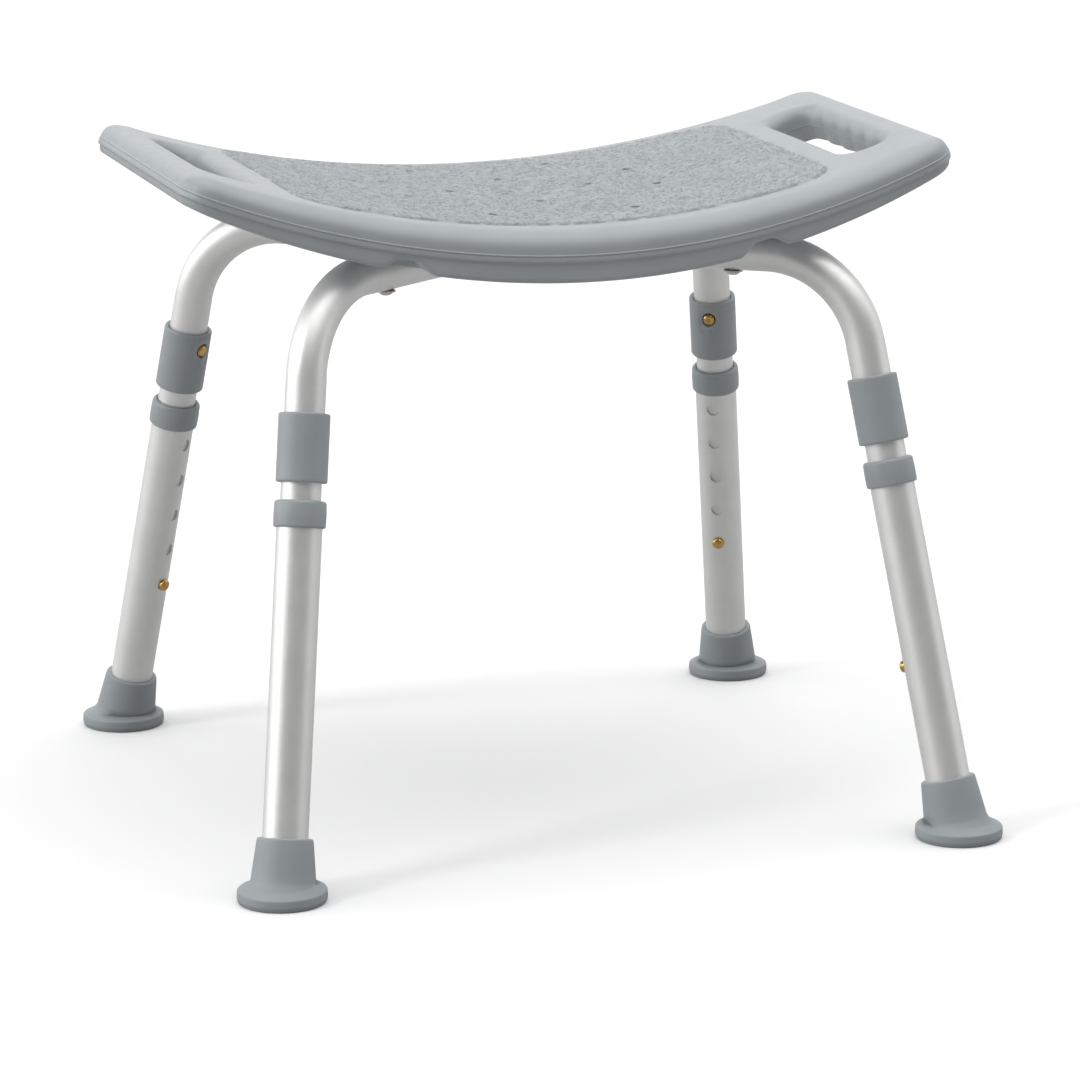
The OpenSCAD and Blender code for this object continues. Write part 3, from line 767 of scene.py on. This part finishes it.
def make_collar(leg):
    """Collar: a moulded sleeve with a round window, in a soft hollow, over its snap button."""
    matrix = leg_matrix(leg)
    low, high = extent("collar_" + leg, matrix)
    radius, bore = high[1], 12.8
    bottom, upper = low[2], high[2]
    window_at, window_r, window_lip = bottom + 31, 5.1, 0.6
    skin = Skin()
    count, window_count = 96, 40
    turn = np.linspace(-math.pi, math.pi, count, endpoint=False)

    def wrapped(u, v, r):
        """Points at arc length u and height v, on a cylinder of radius r."""
        return np.column_stack([r * np.cos(u / radius), r * np.sin(u / radius), v])

    def ring(r, height):
        return skin.add(np.column_stack([r * np.cos(turn), r * np.sin(turn), np.full(count, height)]))

    edge_r = 1.3
    arc = np.linspace(0, math.pi / 2, 6)
    lower = [ring(bore, bottom)] + [
        ring(radius - edge_r + edge_r * math.sin(a), bottom + edge_r * (1 - math.cos(a))) for a in arc
    ]
    skin.loft(lower)
    upper_rings = [
        ring(radius - edge_r + edge_r * math.cos(a), upper - edge_r * (1 - math.sin(a))) for a in arc
    ] + [ring(radius - edge_r - 0.3, upper - 0.05), ring(bore + 0.5, upper - 1.7), ring(bore, upper - 2)]
    skin.loft(upper_rings)

    def sheet(bottom_ring, top_ring, r, window, depth, flip):
        """The cylinder between two rings, round the window."""
        points = skin.points()
        v_low, v_high = points[bottom_ring[0], 2], points[top_ring[0], 2]
        sides = np.arange(v_low, v_high, 1.8)[1:-1]
        seam = skin.add(wrapped(np.full(len(sides), -math.pi * radius), sides, r))
        u = turn * radius
        around = math.pi * radius
        ids = [bottom_ring, bottom_ring[:1], seam, top_ring[:1], top_ring[::-1], seam[::-1]]
        flat = np.vstack([
            np.column_stack([u, np.full(count, v_low)]), [[around, v_low]],
            np.column_stack([np.full(len(sides), around), sides]), [[around, v_high]],
            np.column_stack([u[::-1], np.full(count, v_high)]),
            np.column_stack([np.full(len(sides), -around), sides[::-1]])
        ])
        length = len(flat)
        free = lattice(around, (v_high - v_low) / 2, 1.15) + (0, (v_high + v_low) / 2)
        off = np.hypot(free[:, 0], free[:, 1] - window_at)
        clear = (off > window_r + window_lip + 0.7) & (np.abs(free[:, 0]) < around - 0.9)
        clear &= (free[:, 1] > v_low + 0.9) & (free[:, 1] < v_high - 0.9)
        free = free[clear]
        sunk = depth * collar_recess(free[:, 0], free[:, 1] - window_at)
        ids += [window[0], skin.add(wrapped(free[:, 0], free[:, 1], r - sunk))]
        skin.fill([length, window_count], np.concatenate(ids), np.vstack([flat, window[1], free]), flip)

    windows = []
    for out, sunk in ((window_lip, 0), (window_lip * 0.35, 0.2), (0, window_lip + 0.3), (0, None)):
        flat = circle(window_count, window_r + out, (0, window_at))
        floor = collar_recess(flat[:, 0], flat[:, 1] - window_at)
        r = np.full(window_count, bore) if sunk is None else radius - floor - sunk
        windows.append((skin.add(wrapped(flat[:, 0], flat[:, 1], r)), flat))
    skin.loft([window[0] for window in windows])
    sheet(lower[-1], upper_rings[0], radius, windows[0], 1, False)
    sheet(lower[0], upper_rings[-1], bore, windows[-1], 0, True)
    name, node = "collar_cover_" + leg, "collar_" + leg
    make_piece(name, skin, matrix, "frame", COLLAR, node)


def make_leg_ring(leg):
    """Ring on the top of an outer leg: it sits over the tube's end and guides the inner leg."""
    matrix = leg_matrix(leg)
    low, high = extent("leg_ring_" + leg, matrix)
    radius, bottom, upper = high[1], low[2], high[2]
    tube_r, bore, tube_top = 14.35, 12.8, upper - 3
    skin = Skin()
    corners = [
        (tube_r, bottom), (radius, bottom), (radius + 0.12, (bottom + upper) / 2), (radius - 0.2, upper),
        (bore + 1.1, upper), (bore, upper - 1.2), (bore, tube_top), (tube_r, tube_top)
    ]
    rings = lathe(skin, rounded(corners, (0, 1.5, 8, 2.2, 0.3, 0, 0, 0)))
    skin.loft([rings[-1], rings[0]])
    name, node = "ring_cover_" + leg, "leg_ring_" + leg
    make_piece(name, skin, matrix, "extension_" + leg, COLLAR, node)


def make_foot(leg):
    """Rubber foot: a flange flat on the floor, and a cone that leans with the leg."""
    leaning = leg_matrix(leg)
    level = Matrix.Translation(leaning.translation)
    low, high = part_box("foot_" + leg)
    flange = (high.x - low.x) / 2 / MM
    tip = extent("foot_" + leg, leaning)[1][2]
    skin = Skin()
    count = 112
    # The leaning rings are turned so that their points line up with the level ones
    up = leaning.to_3x3().col[2]
    side = Vector((0, 1, 0)).cross(up).normalized()
    lean = Matrix((side, up.cross(side), up)).transposed().to_4x4()
    lean.translation = leaning.translation

    def ring(radius, height, leaned):
        flat = circle(count, radius)
        placed = []
        for matrix in (level, lean):
            turn = np.array(matrix.to_3x3())
            spot = np.array(matrix.translation) / MM
            placed.append(np.column_stack([flat, np.full(count, height)]) @ turn.T + spot)
        return skin.add(placed[0] * (1 - leaned) + placed[1] * leaned)

    base_r, mouth_r, bore, bore_floor = 20.4, 17.5, 14.36, 12.3
    rim_h, cone_low, fillet = 7.6, 10.6, 1
    deep, shallow = 1.6, 1.2    # grooves in the sole, from the middle outwards
    rings = [ring(radius, height, 0) for radius, height in (
        (10, deep), (11, deep), (11.3, 0), (15.7, 0), (16, deep), (18.5, deep), (18.8, 0), (22, 0),
        (22.3, shallow), (24.5, shallow), (24.8, 0)
    )]
    rings += [ring(radius, height, 0) for radius, height in rounded(
        [(24.9, 0), (flange - 0.9, 0), (flange, 3), (flange - 0.3, rim_h), (base_r + fillet, cone_low)],
        (0, 1.2, 2, 1.3, 0)
    )]
    for share in np.linspace(0.15, 1, 6):
        a = share * math.pi / 2
        rings.append(ring(base_r + fillet * (1 - math.sin(a)), cone_low + fillet * (1 - math.cos(a)), share))
    cone_h = tip - cone_low - fillet
    for share in (0.25, 0.5, 0.75, 0.92):
        rings.append(ring(base_r + (mouth_r - base_r) * share, cone_low + fillet + cone_h * share, 1))
    lip = 1.2
    for a in np.linspace(0, math.pi / 2, 6):
        rings.append(ring(mouth_r - lip * (1 - math.cos(a)), tip - lip * (1 - math.sin(a)), 1))
    mouth = ((bore + 0.5, tip), (bore + 0.15, tip - 0.15), (bore, tip - 0.5), (bore, bore_floor))
    for radius, height in mouth:
        rings.append(ring(radius, height, 1))
    skin.loft(rings)
    middle = leaning.translation / MM
    skin.cap(rings[0], (middle.x, middle.y, deep), flip=True)
    skin.cap(rings[-1], tuple(middle + up * bore_floor))
    name, node = "foot_cover_" + leg, "foot_" + leg
    make_piece(name, skin, Matrix.Identity(4), "extension_" + leg, RUBBER, node)


# ---------------------------------------------------------------- CAD nodes that stay

def finish_cad_nodes():
    """Gives every CAD node that no piece replaces its material, by the start of its name."""
    finishes = (
        ("frame_tube", ALUMINIUM), ("inner_leg", ALUMINIUM), ("outer_leg", ALUMINIUM),
        ("collar_button", BRASS), ("height_button", BRASS), ("seat_inserts", BRASS),
        ("seat_screws", COPPER), ("cross", STEEL), ("foot_washer", STEEL),
        ("collar_spring", STEEL), ("height_spring", STEEL)
    )
    for name, node in frame["nodes"].items():
        for prefix, material in finishes:
            if name.startswith(prefix):
                node.data.materials.clear()
                node.data.materials.append(material)


# ---------------------------------------------------------------- studio

CAMERA_YAW = 0.3009
CAMERA_PITCH = -0.2253
CAMERA_ROLL = -0.0053
CAMERA_AT = (-0.9379, -3.0630, 0.8973)
CAMERA_LENS = 165.0


def make_floor():
    """A pale floor. It shows near white, and sends up less light than a white one would."""
    bpy.ops.mesh.primitive_plane_add(size=60)
    floor = bpy.context.object
    floor.name = "studio_floor"
    nodes = Nodes("studio_floor")
    seen = nodes.node("ShaderNodeLightPath").outputs["Is Camera Ray"]
    tint = nodes.colour(seen, (0.42, 0.42, 0.42), (0.97, 0.97, 0.97))
    nodes.set(Base_Color=tint, Roughness=0.9, Specular_IOR_Level=0.1)
    floor.data.materials.append(nodes.material)


def heading(azimuth, elevation):
    """A direction. Azimuth 0 is towards the camera's side of the chair, 90 to its right."""
    a, e = math.radians(azimuth) - CAMERA_YAW, math.radians(elevation)
    return (math.sin(a) * math.cos(e), -math.cos(a) * math.cos(e), math.sin(e))


def light_studio(base, lobes):
    """World light: a base level and soft lobes, each with a direction, a width in degrees and a strength."""
    world = bpy.data.worlds.new("studio")
    bpy.context.scene.world = world
    world.use_nodes = True
    tree = world.node_tree
    background = tree.nodes["Background"]
    place = tree.nodes.new("ShaderNodeTexCoord").outputs["Generated"]
    total = None
    for azimuth, elevation, width, strength in lobes:
        dot = tree.nodes.new("ShaderNodeVectorMath")
        dot.operation = "DOT_PRODUCT"
        dot.inputs[1].default_value = heading(azimuth, elevation)
        tree.links.new(place, dot.inputs[0])
        ramp = tree.nodes.new("ShaderNodeMapRange")
        ramp.interpolation_type = "SMOOTHERSTEP"
        ramp.inputs["From Min"].default_value = math.cos(math.radians(width))
        ramp.inputs["From Max"].default_value = 1
        ramp.inputs["To Max"].default_value = strength
        tree.links.new(dot.outputs["Value"], ramp.inputs["Value"])
        add = tree.nodes.new("ShaderNodeMath")
        add.inputs[1].default_value = base
        if total is not None:
            tree.links.new(total, add.inputs[1])
        tree.links.new(ramp.outputs["Result"], add.inputs[0])
        total = add.outputs[0]
    tree.links.new(total, background.inputs["Strength"])
    background.inputs["Color"].default_value = (1, 1, 1, 1)


def make_camera():
    """A long lens a little above the seat, seen from the front left."""
    data = bpy.data.cameras.new("camera")
    data.lens = CAMERA_LENS
    data.sensor_width = 36
    camera = bpy.data.objects.new("camera", data)
    bpy.context.scene.collection.objects.link(camera)
    forward = Vector((
        math.sin(CAMERA_YAW) * math.cos(CAMERA_PITCH),
        math.cos(CAMERA_YAW) * math.cos(CAMERA_PITCH),
        math.sin(CAMERA_PITCH)
    ))
    right = Vector((math.cos(CAMERA_YAW), -math.sin(CAMERA_YAW), 0))
    up = right.cross(forward)
    roll_right = right * math.cos(CAMERA_ROLL) + up * math.sin(CAMERA_ROLL)
    roll_up = up * math.cos(CAMERA_ROLL) - right * math.sin(CAMERA_ROLL)
    matrix = Matrix((roll_right, roll_up, -forward)).transposed().to_4x4()
    matrix.translation = CAMERA_AT
    camera.matrix_world = matrix
    bpy.context.scene.camera = camera


make_seat()
for leg in LEGS:
    make_collar(leg)
    make_leg_ring(leg)
    make_foot(leg)
finish_cad_nodes()
make_floor()
light_studio(0.1, (
    (90, 82, 60, 1.75),
    (180, 2, 60, 0.95),
    (-92, 0, 52, 2.2),
    (100, 8, 45, 0.75),
    (-60, 35, 9, 16)
))
make_camera()
bpy.context.scene.view_settings.view_transform = "Standard"
